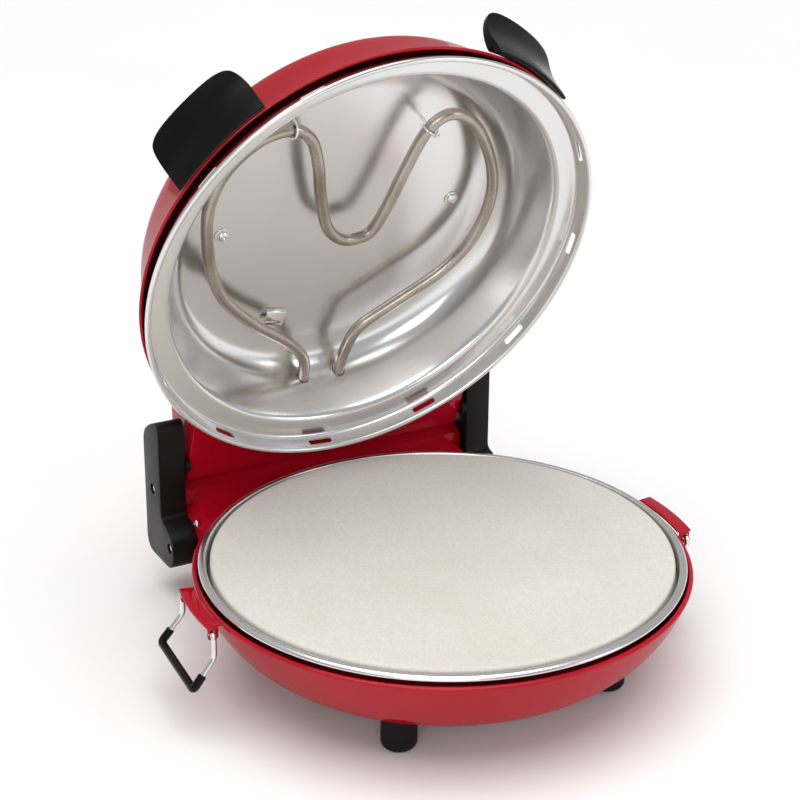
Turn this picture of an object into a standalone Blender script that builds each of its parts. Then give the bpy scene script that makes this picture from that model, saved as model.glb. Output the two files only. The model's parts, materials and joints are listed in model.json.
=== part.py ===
"""Countertop pizza oven: a red bowl base with a baking stone, and a domed lid that opens on a rear hinge.

Lengths in the tables are millimetres, and are turned into metres where the objects are made.
+Z is up, the oven's front faces -Y, and the middle of the bowl is at (BOWL_X, BOWL_Y).
Three frames are used: the table (z = 0), the rim (z = 0 at the base's steel rim) and the lid
(z = 0 at the bottom of its bead). The lid is drawn closed and is turned open at its hinge.
"""

import math

import bmesh
import bpy
from mathutils import Matrix, Vector

MM = 0.001
# Two pieces that touch keep this much room between them.
GAP = 0.3

# Where the bowl's middle stands, so that the open oven's box is centred on the origin.
BOWL_X = 7.1
BOWL_Y = -22.4
RIM_Z = 78.0

# The hinge axis runs along X, behind the bowl and above its rim.
HINGE_Y = 170.0
HINGE_Z = RIM_Z + 19.0
LID_OPEN = math.radians(70.0)
PIN_RADIUS = 2.4

TURN_STEPS = 40
SMALL_STEPS = 16

# Turned profiles, (radius, height): down the outer side, then back up the inner side.
BOWL_PROFILE = (
    (163.9, -3.4), (166.6, -3.6), (167.2, -5.0), (166.2, -7.4), (164.0, -13.0), (159.4, -22.5),
    (152.0, -34.0), (143.0, -43.8), (132.5, -51.6), (121.0, -56.8), (109.0, -58.9), (88.0, -58.9),
    (88.0, -57.7), (108.8, -57.7), (120.5, -55.6), (131.8, -50.5), (142.1, -42.9), (151.0, -33.2),
    (158.3, -22.0), (162.9, -12.6), (164.4, -6.4), (163.9, -5.2),
)
PAN_PROFILE = (
    (161.0, 1.6), (163.0, 0.2), (163.0, -2.0), (160.4, -1.2), (158.2, -0.2), (157.9, -10.0),
    (156.6, -10.9), (146.6, -10.9), (143.4, -27.0), (137.2, -34.0), (128.2, -36.8), (0.0, -36.8),
    (0.0, -36.0), (128.0, -36.0), (136.6, -33.3), (142.6, -26.6), (145.9, -10.1), (156.2, -10.1),
    (157.1, -9.2), (157.4, 0.6), (158.8, 1.7),
)
STONE_PROFILE = (
    (0.0, 2.7), (154.0, 2.7), (155.0, 1.7), (155.0, -8.8), (154.0, -9.8), (0.0, -9.8),
)
SHELL_PROFILE = (
    (0.0, 81.6), (60.0, 80.4), (98.0, 77.6), (120.0, 73.6), (133.0, 69.0), (142.0, 63.0),
    (147.2, 57.0), (150.4, 49.6), (153.6, 40.0), (157.2, 30.0), (161.0, 20.4), (162.7, 17.2),
    (164.6, 16.2), (165.4, 14.9), (164.8, 13.7), (163.4, 13.8),
    (161.8, 16.4), (159.8, 20.0), (156.0, 29.6), (152.4, 39.6), (149.2, 49.2), (146.1, 56.3),
    (141.1, 62.1), (132.4, 67.9), (119.6, 72.4), (97.8, 76.4), (60.0, 79.2), (0.0, 80.4),
)
REFLECTOR_PROFILE = (
    (0.0, 60.8), (108.2, 60.8), (121.4, 58.8), (129.7, 52.5), (133.9, 45.2), (144.2, 15.9),
    (146.0, 14.0), (148.2, 13.3), (158.8, 13.3), (161.2, 12.2), (162.9, 4.0), (165.0, 3.9),
    (166.2, 2.8), (166.3, 1.3), (165.2, 0.2), (163.5, 0.2), (162.3, 1.4),
    (162.1, 3.2), (160.3, 11.6), (158.4, 12.5), (148.0, 12.5), (145.4, 13.3), (143.4, 15.6),
    (133.1, 45.0), (129.0, 52.0), (121.0, 58.1), (108.1, 60.0), (0.0, 60.0),
)
CEILING_Z = 60.0

# Vents in the lid's steel wall: one every 30 degrees, turned a little off the middle line.
VENT_COUNT = 12
VENT_TURN = math.radians(5.0)
VENT_LENGTH = 18.0
VENT_HEIGHT = 4.4
VENT_Z = 6.3

# Side outlines, (y, z), of the pieces at the back. The arm's and the base box's are in the rim's frame.
ARM_OUTLINE = (
    (166.4, -17.0), (159.0, -19.0), (152.0, -23.0), (147.4, -27.6), (146.0, -34.0), (146.6, -43.0),
    (150.0, -48.4), (155.0, -50.4), (186.0, -50.4), (191.4, -47.6), (194.0, -42.0), (194.0, 38.0),
    (190.6, 44.4), (184.0, 49.4), (173.6, 54.8), (169.0, 55.0), (166.4, 52.6),
)
ARM_INNER_X = 114.6
ARM_OUTER_X = 134.2
ARM_SCREWS = ((180.2, 1.1), (152.6, -34.0))

BASE_BOX_OUTLINE = (
    (110.0, -12.6), (150.0, -12.6), (165.0, -10.6), (178.0, -3.0), (183.0, 0.6), (190.0, 0.6),
    (194.0, -2.6), (194.0, -47.0), (190.0, -51.4), (110.0, -51.4),
)
BASE_BOX_INSIDE = (
    (100.0, -14.2), (150.2, -14.2), (165.8, -12.2), (178.9, -4.6), (183.5, -1.0), (189.4, -1.0),
    (192.4, -3.4), (192.4, -46.4), (189.3, -49.8), (100.0, -49.8),
)
BASE_BOX_HALF = ARM_INNER_X - GAP
BASE_BOX_CHAMFER = 6.5
BASE_BOX_WALL = 1.6
GLAND_X = 62.0
GLAND_Z = -30.0

# The lid's rear box, in the lid's frame.
LID_BOX_OUTLINE = (
    (85.0, 18.9), (184.6, 18.9), (187.0, 20.0), (188.0, 22.4), (188.0, 33.0), (185.0, 37.0),
    (158.0, 53.4), (140.0, 61.0), (85.0, 66.0),
)
LID_BOX_INSIDE = (
    (70.0, 20.5), (184.2, 20.5), (185.8, 21.2), (186.4, 22.8), (186.4, 32.6), (184.0, 35.8),
    (157.2, 51.9), (139.6, 59.4), (70.0, 64.4),
)
LID_BOX_HALF = 110.0
LID_BOX_WALL = 1.6

# The control panel is the sloping top of the lid's rear box.
PANEL_Y = 171.5
PANEL_Z = 45.2
PANEL_LEAN = math.atan2(53.4 - 37.0, 185.0 - 158.0)
KNOB_X = 52.0

# The upper heating element's centreline, (x, y, z) in the lid's frame, from one lead to the other.
UPPER_Z = 42.0
LEAD_Z = 45.0
UPPER_ELEMENT = (
    (-14.3, 143.0, LEAD_Z), (-14.3, 131.0, LEAD_Z), (-18.0, 112.0, 43.6), (-33.5, 92.6, UPPER_Z),
    (-63.0, 69.5, UPPER_Z), (-88.5, 43.0, UPPER_Z), (-101.6, 16.0, UPPER_Z),
    (-108.6, -14.0, UPPER_Z), (-110.0, -43.0, UPPER_Z), (-101.0, -69.0, UPPER_Z),
    (-80.5, -88.6, UPPER_Z), (-58.0, -93.4, UPPER_Z), (-43.6, -84.0, UPPER_Z),
    (-35.0, -63.0, UPPER_Z), (-28.8, -36.0, UPPER_Z), (-19.4, -8.0, UPPER_Z),
    (-7.6, 4.6, UPPER_Z), (4.8, 7.2, UPPER_Z), (16.4, 2.6, UPPER_Z), (25.0, -17.0, UPPER_Z),
    (34.0, -49.0, UPPER_Z), (45.0, -78.0, UPPER_Z), (61.4, -88.0, UPPER_Z),
    (82.0, -75.6, UPPER_Z), (101.4, -43.0, UPPER_Z), (109.0, -10.0, UPPER_Z),
    (102.4, 23.5, UPPER_Z), (83.0, 49.6, UPPER_Z), (49.0, 72.4, UPPER_Z), (23.0, 89.6, UPPER_Z),
    (15.6, 110.0, 43.4), (14.3, 131.0, LEAD_Z), (14.3, 143.0, LEAD_Z),
)
LEAD_X = 14.3
ELEMENT_RADIUS = 4.2
# The hooks hold the element at these of its points.
HOOK_POINTS = (11, 21)

LOWER_Z = -22.0
LOWER_RADIUS = 108.0
LOWER_LEAD_X = 16.0

CEILING_SCREW_X = 88.5
SENSOR_TAB = (-39.0, 80.0)

# The lid's handles: where they stand round the rim, and their section in (radius, z).
HANDLE_ANGLES = {"left": math.pi + math.radians(41.9), "right": -math.radians(53.5)}
HANDLE_HALF_SPAN = math.radians(12.8)
HANDLE_STATIONS = 12
HANDLE_OUTSIDE = (
    (169.6, 12.6), (170.6, 20.0), (171.2, 28.0), (172.2, 35.0), (174.6, 41.6), (178.0, 47.4),
    (180.4, 51.0),
)
HANDLE_INSIDE = (
    (167.6, 13.0), (166.0, 18.0), (162.6, 23.0), (165.4, 33.0), (169.0, 41.0), (173.4, 48.0),
    (177.6, 53.0),
)

# The ears at the bowl's sides and the wire bails that hang in them.
# Both stand on one line through the bowl's middle, turned a little clockwise seen from above.
EAR_TURN = math.radians(-4.7)
EAR_HALF_SPAN = math.radians(9.1)
EAR_INNER = 167.8
EAR_OUTER = 177.8
EAR_TOP = RIM_Z - 3.0
EAR_THICK = 1.6
EAR_STATIONS = 6
TAB_WIDTH = 7.4
TAB_BOTTOM = RIM_Z - 13.0
PIVOT_RADIUS = 172.4
PIVOT_Z = RIM_Z - 8.4
WIRE_RADIUS = 1.8
SLEEVE_RADIUS = 2.8
# A bail's legs hang outside the ear's tabs: straight down to the knee, then outward to the bar.
LEG_Y = 31.2
BAR_HALF = 32.8
KNEE_DOWN = 15.0
BAR_OUT = 15.0
BAR_DOWN = 34.2
SLEEVE_UP_LEG = 11.0
# The left bail stands out from the bowl, and the right one hangs under its pivots.
BAIL_SWING = {"left": 0.0, "right": math.radians(-24.0)}

FOOT_X = 78.7
FOOT_Y = 85.7
FOOT_RADIUS = 11.8


def clear_scene():
    """Removes every object, so that the file holds only the oven."""
    for existing in list(bpy.data.objects):
        bpy.data.objects.remove(existing, do_unlink=True)


def new_collection(name, hidden=False):
    collection = bpy.data.collections.new(name)
    bpy.context.scene.collection.children.link(collection)
    collection.hide_render = hidden
    return collection


def new_material(name, colour, roughness, metallic=0.0):
    material = bpy.data.materials.new(name)
    material.use_nodes = True
    shader = material.node_tree.nodes["Principled BSDF"]
    shader.inputs["Base Color"].default_value = (*colour, 1.0)
    shader.inputs["Roughness"].default_value = roughness
    shader.inputs["Metallic"].default_value = metallic
    return material


def place(name, data, collection, parent, location=(0.0, 0.0, 0.0), rotation=(0.0, 0.0, 0.0)):
    """Links an object under its parent; the location is in millimetres."""
    made = bpy.data.objects.new(name, data)
    collection.objects.link(made)
    made.parent = parent
    made.location = Vector(location) * MM
    made.rotation_euler = rotation
    return made


def shade_round(item, degrees=35.0):
    item.data.shade_smooth()
    item.data.set_sharp_from_angle(angle=math.radians(degrees))


def turned(name, profile, parent, material, location=(0, 0, 0), rotation=(0, 0, 0), steps=TURN_STEPS,
           collection=None):
    """A shape of revolution about its own Z axis. A profile that ends on the axis stays open there."""
    edges = [(i, i + 1) for i in range(len(profile) - 1)]
    if profile[0][0] > 0.0 or profile[-1][0] > 0.0:
        edges.append((len(profile) - 1, 0))
    mesh = bpy.data.meshes.new(name)
    mesh.from_pydata([(radius * MM, 0.0, height * MM) for radius, height in profile], edges, [])
    mesh.materials.append(material)
    made = place(name, mesh, collection or OVEN, parent, location, rotation)
    spin = made.modifiers.new("turn", "SCREW")
    spin.steps = steps
    spin.render_steps = steps
    spin.use_merge_vertices = True
    spin.merge_threshold = 0.0001
    spin.use_smooth_shade = True
    return made


def outline_curve(name, outline, half_thickness):
    """A flat closed outline in its own XY plane, made solid by half_thickness to each side."""
    curve = bpy.data.curves.new(name, "CURVE")
    curve.dimensions = "2D"
    curve.fill_mode = "BOTH"
    curve.extrude = half_thickness * MM
    spline = curve.splines.new("POLY")
    spline.points.add(len(outline) - 1)
    for point, (x, y) in zip(spline.points, outline):
        point.co = (x * MM, y * MM, 0.0, 1.0)
    spline.use_cyclic_u = True
    return curve


def path_curve(name, path, radius):
    """A round bar along a list of points."""
    curve = bpy.data.curves.new(name, "CURVE")
    curve.dimensions = "3D"
    curve.bevel_depth = radius * MM
    curve.bevel_resolution = 2
    curve.use_fill_caps = True
    spline = curve.splines.new("POLY")
    spline.points.add(len(path) - 1)
    for point, place_on_path in zip(spline.points, path):
        point.co = (*(Vector(place_on_path) * MM), 1.0)
    return curve


def as_mesh(item):
    """Replaces a curve object by the same shape as a mesh, with its caps joined on."""
    name = item.name
    graph = bpy.context.evaluated_depsgraph_get()
    mesh = bpy.data.meshes.new_from_object(item.evaluated_get(graph))
    shape = bmesh.new()
    shape.from_mesh(mesh)
    bmesh.ops.remove_doubles(shape, verts=shape.verts, dist=1e-6)
    bmesh.ops.recalc_face_normals(shape, faces=shape.faces)
    shape.to_mesh(mesh)
    shape.free()
    collection = item.users_collection[0]
    parent = item.parent
    location = item.location.copy() / MM
    rotation = item.rotation_euler.copy()
    bpy.data.objects.remove(item)
    return place(name, mesh, collection, parent, location, rotation)


def side_plate(name, outline, half_thickness, parent, material, centre_x=0.0, collection=None):
    """A (y, z) outline made solid along X, half_thickness to each side of centre_x."""
    curve = outline_curve(name, outline, half_thickness)
    curve.materials.append(material)
    upright = (math.pi / 2, 0.0, math.pi / 2)
    return as_mesh(place(name, curve, collection or OVEN, parent, (centre_x, 0.0, 0.0), upright))


def rod(name, path, radius, parent, material, collection=None):
    curve = path_curve(name, path, radius)
    curve.materials.append(material)
    return as_mesh(place(name, curve, collection or OVEN, parent))


def primitive(name, matrix, sides, parent, material, location, rotation=(0.0, 0.0, 0.0), collection=None):
    """A cylinder with the given number of sides, or a box when sides is 0, stretched by the matrix."""
    shape = bmesh.new()
    if sides:
        bmesh.ops.create_cone(shape, cap_ends=True, segments=sides, radius1=1.0, radius2=1.0, depth=1.0)
    else:
        bmesh.ops.create_cube(shape, size=1.0)
    shape.transform(matrix)
    mesh = bpy.data.meshes.new(name)
    shape.to_mesh(mesh)
    shape.free()
    mesh.materials.append(material)
    made = place(name, mesh, collection or OVEN, parent, location, rotation)
    if sides:
        shade_round(made)
    return made


def box(name, size, parent, material, location, rotation=(0.0, 0.0, 0.0), collection=None):
    """A box centred on its location."""
    matrix = Matrix.Diagonal((*(Vector(size) * MM), 1.0))
    return primitive(name, matrix, 0, parent, material, location, rotation, collection)


def cylinder(name, radius, length, parent, material, location, rotation=(0.0, 0.0, 0.0), sides=SMALL_STEPS,
             collection=None):
    """A cylinder that starts at its location and runs along its own Z axis."""
    stretch = Matrix.Diagonal((radius * MM, radius * MM, length * MM, 1.0))
    lift = Matrix.Translation((0.0, 0.0, 0.5 * length * MM))
    return primitive(name, lift @ stretch, sides, parent, material, location, rotation, collection)


def boolean(item, tool, operation):
    """Adds a Boolean, and keeps its tool out of renders."""
    tool.display_type = "WIRE"
    tool.hide_render = True
    modifier = item.modifiers.new(f"{operation.lower()}_{tool.name}", "BOOLEAN")
    modifier.operation = operation
    modifier.solver = "EXACT"
    modifier.object = tool


def drill(item, name, radius, length, parent, location, rotation=(0.0, 0.0, 0.0)):
    tool = cylinder(name, radius, length, parent, STEEL, location, rotation, collection=TOOLS)
    boolean(item, tool, "DIFFERENCE")


def cut_top_corners(item, half_width, top, width, length, parent, inset=0.0):
    """Cuts the edges between a side plate's top and its two ends off at 45 degrees, as far back as length allows."""
    for side, direction in SIDES:
        slope = Vector((direction, 0.0, 1.0)).normalized()
        middle = Vector((direction * (half_width - 0.5 * width), 140.0, top - 0.5 * width))
        centre = middle + slope * (20.0 - inset)
        tool = box(f"corner_of_{item.name}_{side}", (60.0, length, 40.0), parent, STEEL, centre,
                   (0.0, direction * math.pi / 4, 0.0), TOOLS)
        boolean(item, tool, "DIFFERENCE")


def bevelled(item, width, degrees=30.0):
    rounding = item.modifiers.new("rounding", "BEVEL")
    rounding.width = width * MM
    rounding.segments = 1
    rounding.limit_method = "ANGLE"
    rounding.angle_limit = math.radians(degrees)


def smooth_path(points, per_span=2):
    """A Catmull-Rom curve through the points, as a list of short straight runs."""
    points = [Vector(point) for point in points]
    padded = [2 * points[0] - points[1], *points, 2 * points[-1] - points[-2]]
    path = []
    for a, b, c, d in zip(padded, padded[1:], padded[2:], padded[3:]):
        for step in range(per_span):
            t = step / per_span
            bend = (2 * a - 5 * b + 4 * c - d) * t**2 + (3 * b - a - 3 * c + d) * t**3
            path.append(0.5 * (2 * b + (c - a) * t + bend))
    path.append(points[-1])
    return path


def rounded_path(points, bend, steps=3):
    """A path whose inner corners become arcs that start one bend length before each corner."""
    points = [Vector(point) for point in points]
    path = [points[0]]
    for before, corner, after in zip(points, points[1:], points[2:]):
        start = corner + (before - corner).normalized() * bend
        end = corner + (after - corner).normalized() * bend
        for step in range(steps + 1):
            t = step / steps
            path.append((1 - t) ** 2 * start + 2 * t * (1 - t) * corner + t**2 * end)
    path.append(points[-1])
    return path


def grown(profile, amount):
    """A profile moved outwards and upwards or downwards, away from its solid, by about the amount."""
    return [(radius + amount, height + math.copysign(amount, height)) for radius, height in profile]


def pan_head_screw(name, parent, location, rotation, head_radius, head_height, shank_length):
    """A screw whose head stands up from its origin along its own Z axis."""
    shank_radius = 0.45 * head_radius
    profile = (
        (0.0, head_height), (0.7 * head_radius, 0.85 * head_height), (head_radius, 0.2 * head_height),
        (head_radius, 0.0), (shank_radius, 0.0), (shank_radius, -shank_length), (0.0, -shank_length),
    )
    turned(name, profile, parent, STEEL, location, rotation, steps=10)


def outward(direction):
    """The rotation that turns a piece's own Z axis to face away from the middle plane, along X."""
    return (0.0, direction * math.pi / 2, 0.0)


SIDES = (("left", -1.0), ("right", 1.0))
BACKWARD = (-math.pi / 2, 0.0, 0.0)


# ---------------------------------------------------------------- base


def make_base(rim):
    turned("base_bowl", BOWL_PROFILE, rim, RED)
    pan = turned("base_pan", PAN_PROFILE, rim, STEEL)
    for side, direction in SIDES:
        drill(pan, f"pan_hole_{side}", ELEMENT_RADIUS + 1.2, 40.0, rim,
              (direction * LOWER_LEAD_X, 125.0, LOWER_Z), BACKWARD)
    turned("stone", STONE_PROFILE, rim, STONE)
    make_lower_element(rim)
    make_bottom(rim)
    make_base_box(rim)


def make_lower_element(rim):
    """A single loop under the stone whose two leads leave through the back of the pan."""
    opening = math.asin(LOWER_LEAD_X / LOWER_RADIUS) + math.radians(9.0)
    steps = 32
    loop = []
    for i in range(steps + 1):
        angle = math.pi / 2 + opening + (2 * math.pi - 2 * opening) * i / steps
        loop.append((LOWER_RADIUS * math.cos(angle), LOWER_RADIUS * math.sin(angle), LOWER_Z))
    leads = [[(direction * LOWER_LEAD_X, y, LOWER_Z) for y in (150.0, 119.0)] for _, direction in SIDES]
    rod("lower_element", [*leads[0], *loop, *reversed(leads[1])], ELEMENT_RADIUS, rim, ELEMENT)

    rest_top = LOWER_Z - ELEMENT_RADIUS - GAP
    rest_bottom = PAN_PROFILE[12][1] + GAP
    for label, degrees in (("a", 210.0), ("b", 330.0), ("c", 60.0)):
        angle = math.radians(degrees)
        spot = (LOWER_RADIUS * math.cos(angle), LOWER_RADIUS * math.sin(angle), 0.5 * (rest_top + rest_bottom))
        box(f"element_rest_{label}", (12.0, 8.0, rest_top - rest_bottom), rim, STEEL, spot, (0.0, 0.0, angle))


def make_bottom(rim):
    """The cover under the bowl, the posts that carry the pan, and the four feet."""
    cover_top = BOWL_PROFILE[10][1] - GAP
    cover = ((0.0, cover_top), (95.0, cover_top), (95.0, cover_top - 1.0), (0.0, cover_top - 1.0))
    turned("bottom_cover", cover, rim, STEEL)

    post_bottom = BOWL_PROFILE[12][1] + GAP
    post_length = PAN_PROFILE[11][1] - GAP - post_bottom
    for label, degrees in (("a", 90.0), ("b", 210.0), ("c", 330.0)):
        angle = math.radians(degrees)
        spot = (98.0 * math.cos(angle), 98.0 * math.sin(angle), post_bottom)
        cylinder(f"pan_post_{label}", 5.0, post_length, rim, STEEL, spot, sides=12)

    envelope = bowl_envelope(rim, "feet_under_bowl")
    foot = (
        (0.0, 30.0), (FOOT_RADIUS, 30.0), (FOOT_RADIUS, 3.2), (FOOT_RADIUS - 0.9, 1.0), (FOOT_RADIUS - 3.0, 0.0),
        (0.0, 0.0),
    )
    for side, direction in SIDES:
        for end, y in (("front", -FOOT_Y), ("rear", FOOT_Y)):
            made = turned(f"foot_{end}_{side}", foot, rim, RUBBER, (direction * FOOT_X, y, -RIM_Z), steps=20)
            boolean(made, envelope, "DIFFERENCE")


def bowl_envelope(rim, name):
    """The bowl filled solid and a little larger, to cut what sits against it."""
    outside = grown(BOWL_PROFILE[2:12], 0.5)
    profile = [(0.0, 30.0), (outside[0][0], 30.0), *outside, (0.0, outside[-1][1])]
    return turned(name, profile, rim, STEEL, collection=TOOLS)


def make_base_box(rim):
    """The hollow red box behind the bowl. It carries the hinge arms, and the power cord enters it."""
    case = side_plate("base_rear_box", BASE_BOX_OUTLINE, BASE_BOX_HALF, rim, RED)
    hollow = side_plate("base_box_hollow", BASE_BOX_INSIDE, BASE_BOX_HALF - BASE_BOX_WALL, rim, RED, collection=TOOLS)
    for item, inset in ((case, 0.0), (hollow, BASE_BOX_WALL)):
        cut_top_corners(item, BASE_BOX_HALF, BASE_BOX_OUTLINE[0][1], BASE_BOX_CHAMFER, 72.0, rim, inset)
    boolean(case, hollow, "DIFFERENCE")
    boolean(case, bowl_envelope(rim, "base_box_round_bowl"), "DIFFERENCE")
    back_y = BASE_BOX_OUTLINE[6][0]
    drill(case, "gland_hole", 7.4, 12.0, rim, (GLAND_X, back_y - 6.0, GLAND_Z), BACKWARD)
    gland = (
        (7.0, 9.0), (10.5, 8.0), (10.5, GAP), (7.0, GAP), (7.0, -4.0), (4.2, -4.0), (4.2, 9.0),
    )
    turned("cord_gland", gland, rim, RUBBER, (GLAND_X, back_y, GLAND_Z), BACKWARD, steps=20)
    box("terminal_block", (34.0, 12.0, 16.0), rim, BLACK, (GLAND_X - 44.0, back_y - 8.0, GLAND_Z))
    for side, direction in SIDES:
        spot = (direction * (BASE_BOX_HALF + GAP), 149.0, -17.0)
        pan_head_screw(f"flank_screw_{side}", rim, spot, outward(direction), 3.2, 1.6, 0.1)


def make_arms(rim):
    """The two fixed black arms that carry the lid's hinge pins."""
    half = 0.5 * (ARM_OUTER_X - ARM_INNER_X)
    hinge_z = HINGE_Z - RIM_Z
    recess_floor = ARM_OUTER_X - 3.0
    for side, direction in SIDES:
        arm = side_plate(f"hinge_arm_{side}", ARM_OUTLINE, half, rim, BLACK, direction * (ARM_INNER_X + half))
        bevelled(arm, 1.4)
        drill(arm, f"pin_bore_{side}", PIN_RADIUS + GAP, 16.0, rim,
              (direction * (ARM_INNER_X - 2.0), HINGE_Y, hinge_z), outward(direction))
        for level, (y, z) in zip(("upper", "lower"), ARM_SCREWS):
            drill(arm, f"recess_{side}_{level}", 3.9, 12.0, rim, (direction * recess_floor, y, z),
                  outward(direction))
            pan_head_screw(f"arm_screw_{side}_{level}", rim, (direction * (recess_floor + GAP + 0.1), y, z),
                           outward(direction), 3.3, 2.0, 0.1)
        cylinder(f"hinge_pin_{side}", PIN_RADIUS, 15.0, rim, STEEL,
                 (direction * (LID_BOX_HALF + GAP), HINGE_Y, hinge_z), outward(direction))


# ---------------------------------------------------------------- ears and bails


def ear(side, heading):
    """A flat ear along the bowl's lip, with both ends turned down into tabs, drawn round +X."""
    spread = [EAR_HALF_SPAN * (2 * i / EAR_STATIONS - 1) for i in range(EAR_STATIONS + 1)]
    outline = [(EAR_INNER * math.cos(angle), EAR_INNER * math.sin(angle)) for angle in spread]
    outline += [(EAR_OUTER * math.cos(angle), EAR_OUTER * math.sin(angle)) for angle in reversed(spread)]
    curve = outline_curve(f"ear_{side}", outline, 0.5 * EAR_THICK)
    curve.materials.append(RED)
    plate = as_mesh(place(f"ear_{side}", curve, OVEN, heading, (0.0, 0.0, EAR_TOP - 0.5 * EAR_THICK)))
    tab_top = EAR_TOP - 0.4 * EAR_THICK
    tab_radius = EAR_OUTER - 0.6 * TAB_WIDTH
    inset = EAR_HALF_SPAN - 0.55 * EAR_THICK / tab_radius
    for end, angle in (("front", -inset), ("rear", inset)):
        tab = box(f"tab_{side}_{end}", (TAB_WIDTH, EAR_THICK, tab_top - TAB_BOTTOM), heading, RED,
                  (tab_radius * math.cos(angle), tab_radius * math.sin(angle), 0.5 * (tab_top + TAB_BOTTOM)),
                  (0.0, 0.0, angle), TOOLS)
        boolean(plate, tab, "UNION")
    drill(plate, f"bail_bore_{side}", WIRE_RADIUS + 0.5, 100.0, heading, (PIVOT_RADIUS, 50.0, PIVOT_Z),
          (math.pi / 2, 0.0, 0.0))


def bail_leg(sleeve_only):
    """One leg of the bail's wire, from the corner at its bar to its end in the ear's tab."""
    corner = Vector((BAR_OUT, BAR_HALF, -BAR_DOWN))
    knee = Vector((0.0, LEG_Y, -KNEE_DOWN))
    if sleeve_only:
        return [corner, corner + (knee - corner).normalized() * sleeve_only]
    return [corner, knee, Vector((0.0, LEG_Y, 0.0)), Vector((0.0, LEG_Y - 6.5, 0.0))]


def bail_path(sleeve_only=0.0):
    """The whole wire, or only what a sleeve of that length up each leg covers."""
    leg = bail_leg(sleeve_only)
    mirrored = [Vector((point.x, -point.y, point.z)) for point in leg]
    return rounded_path([*reversed(mirrored), *leg], 2.4)


def make_bails(root):
    for side, turn in (("left", math.pi + EAR_TURN), ("right", EAR_TURN)):
        heading = place(f"bail_side_{side}", None, OVEN, root, rotation=(0.0, 0.0, turn))
        ear(side, heading)
        pivot = place(f"bail_pivot_{side}", None, OVEN, heading, (PIVOT_RADIUS, 0.0, PIVOT_Z),
                      (0.0, -BAIL_SWING[side], 0.0))
        rod(f"bail_{side}", bail_path(), WIRE_RADIUS, pivot, CHROME)
        sleeve = rod(f"bail_sleeve_{side}", bail_path(SLEEVE_UP_LEG), SLEEVE_RADIUS, pivot, BLACK)
        core = rod(f"sleeve_bore_{side}", bail_path(SLEEVE_UP_LEG + 3.0), WIRE_RADIUS + GAP, pivot, BLACK, TOOLS)
        boolean(sleeve, core, "DIFFERENCE")


# ---------------------------------------------------------------- lid


def make_lid(root):
    hinge = place("lid_hinge", None, OVEN, root, (0.0, HINGE_Y, HINGE_Z), (-LID_OPEN, 0.0, 0.0))
    frame = place("lid_frame", None, OVEN, hinge, (0.0, -HINGE_Y, RIM_Z - HINGE_Z))
    turned("lid_shell", SHELL_PROFILE, frame, RED)
    make_reflector(frame)
    make_upper_element(frame)
    make_handles(frame)
    make_lid_box(frame)
    make_controls(frame)


def make_reflector(frame):
    """The polished steel inner dome, with vents through its wall in front of the red shell's lip."""
    reflector = turned("lid_reflector", REFLECTOR_PROFILE, frame, STEEL)
    wall_radius = 161.4
    for i in range(VENT_COUNT):
        angle = VENT_TURN + 2 * math.pi * i / VENT_COUNT
        spot = (wall_radius * math.cos(angle), wall_radius * math.sin(angle), VENT_Z)
        slot = box(f"vent_{i}", (8.0, VENT_LENGTH, VENT_HEIGHT), frame, STEEL, spot, (0.0, 0.0, angle), TOOLS)
        boolean(reflector, slot, "DIFFERENCE")
    for side, direction in SIDES:
        drill(reflector, f"lead_hole_{side}", ELEMENT_RADIUS + 1.2, 40.0, frame,
              (direction * LEAD_X, 112.0, LEAD_Z), BACKWARD)
        drill(reflector, f"ceiling_hole_{side}", 2.6, 8.0, frame,
              (direction * CEILING_SCREW_X, 0.0, CEILING_Z - 4.0))
        pan_head_screw(f"ceiling_screw_{side}", frame, (direction * CEILING_SCREW_X, 0.0, CEILING_Z - GAP),
                       (math.pi, 0.0, 0.0), 4.8, 2.4, 15.0)
    box("sensor_tab", (15.0, 13.0, 1.0), frame, STEEL, (*SENSOR_TAB, CEILING_Z - 3.2),
        (math.radians(-20.0), 0.0, math.radians(20.0)))


def make_upper_element(frame):
    """The bent heater tube with both leads run out through the back of the inner dome, and its hooks."""
    rod("upper_element", smooth_path(UPPER_ELEMENT), ELEMENT_RADIUS, frame, ELEMENT)
    wire = 0.9
    reach = ELEMENT_RADIUS + 0.8 + wire
    for (side, _), index in zip(SIDES, HOOK_POINTS):
        centre = Vector(UPPER_ELEMENT[index])
        run = Vector(UPPER_ELEMENT[index + 1]) - Vector(UPPER_ELEMENT[index - 1])
        inward = Vector((-run.y, run.x, 0.0)).normalized()
        if inward.dot(centre) > 0.0:
            inward.negate()
        hook = [centre + inward * reach + Vector((0.0, 0.0, CEILING_Z - GAP - UPPER_Z))]
        for step in range(7):
            angle = math.pi * step / 6
            hook.append(centre + inward * reach * math.cos(angle) - Vector((0.0, 0.0, reach * math.sin(angle))))
        hook.append(centre - inward * reach + Vector((0.0, 0.0, 3.0)))
        rod(f"element_hook_{side}", hook, wire, frame, STEEL)


def along(line, position):
    """The point at a fractional index of a list of points."""
    index = min(int(position), len(line) - 2)
    share = position - index
    return tuple((1 - share) * a + share * b for a, b in zip(line[index], line[index + 1]))


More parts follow.
